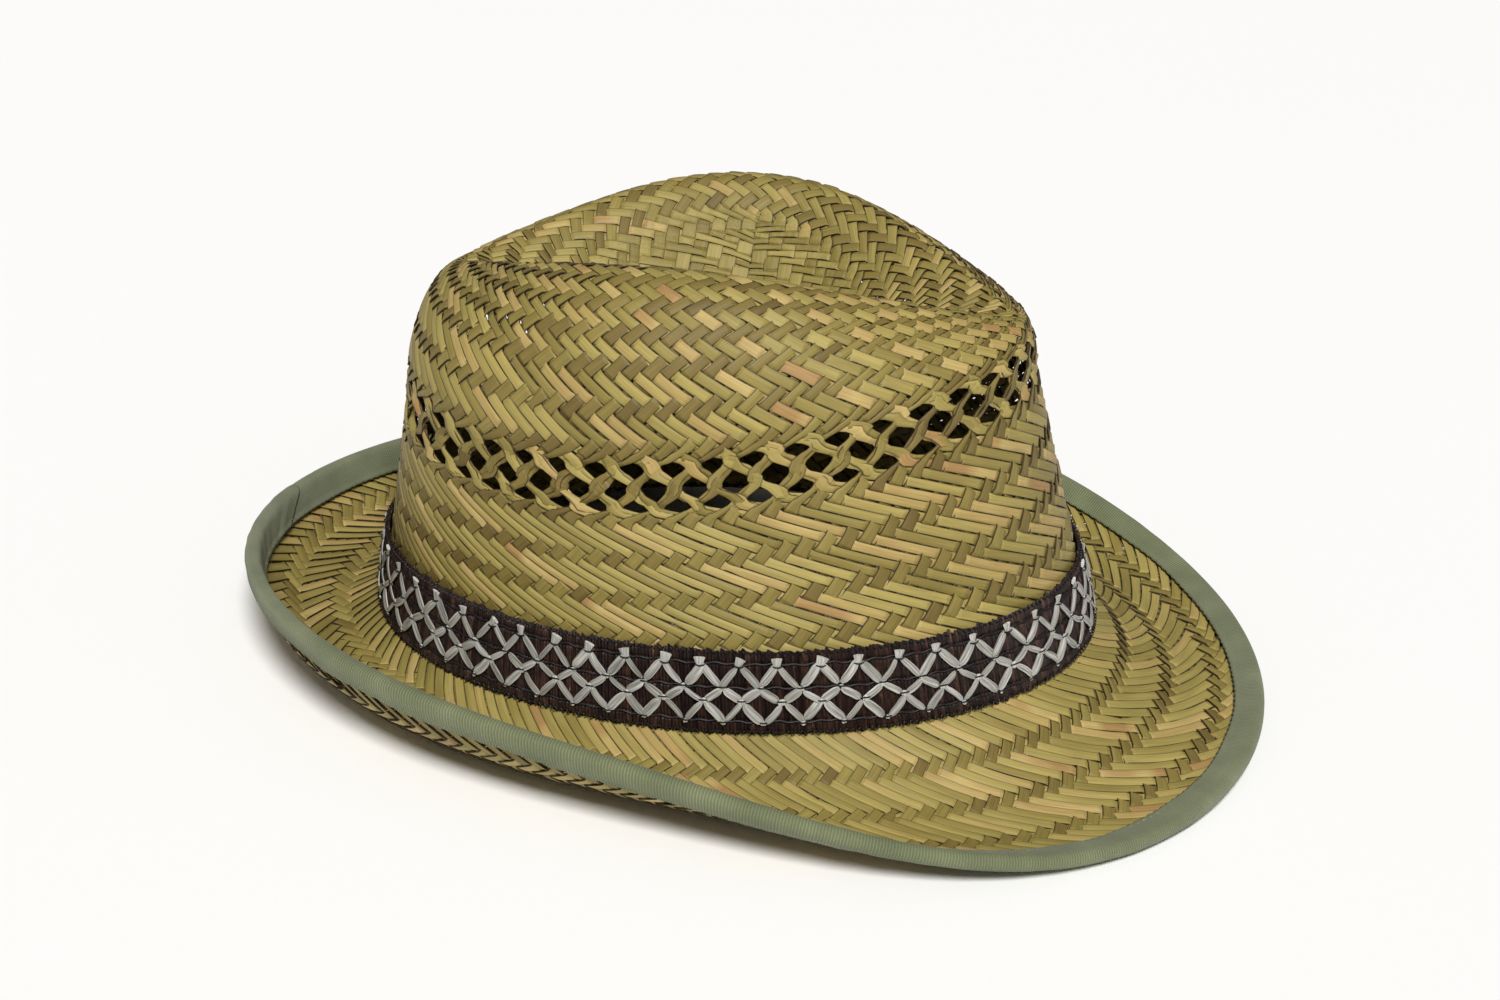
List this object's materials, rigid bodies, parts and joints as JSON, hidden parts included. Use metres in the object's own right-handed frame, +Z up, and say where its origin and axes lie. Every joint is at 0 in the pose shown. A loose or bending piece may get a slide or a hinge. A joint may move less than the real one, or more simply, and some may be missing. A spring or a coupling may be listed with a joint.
{
  "type": "straw fedora",
  "caption": "Woven straw fedora with a lens-shaped dent, an openwork row round the crown, a woven hat band and a brim bound with tape, down at the front and curled up behind.",
  "frame": {"origin": "centre of the footprint at the height of the surface that the hat rests on", "axes": "+Z up as the hat rests, -Y towards the front of the brim, -X towards the wearer's right"},
  "size_m": [0.2588, 0.2846, 0.1223],
  "materials": {
    "straw": "woven flat straw in tan, yellow and olive, slightly glossy",
    "band": "dark brown woven raffia with a pale straw lattice, matte",
    "binding": "sage green ribbed tape, matte"
  },
  "bodies": {
    "root": {"crown": "straw", "brim": "straw", "hat_band": "band", "brim_binding": "binding"}
  },
  "joints": []
}
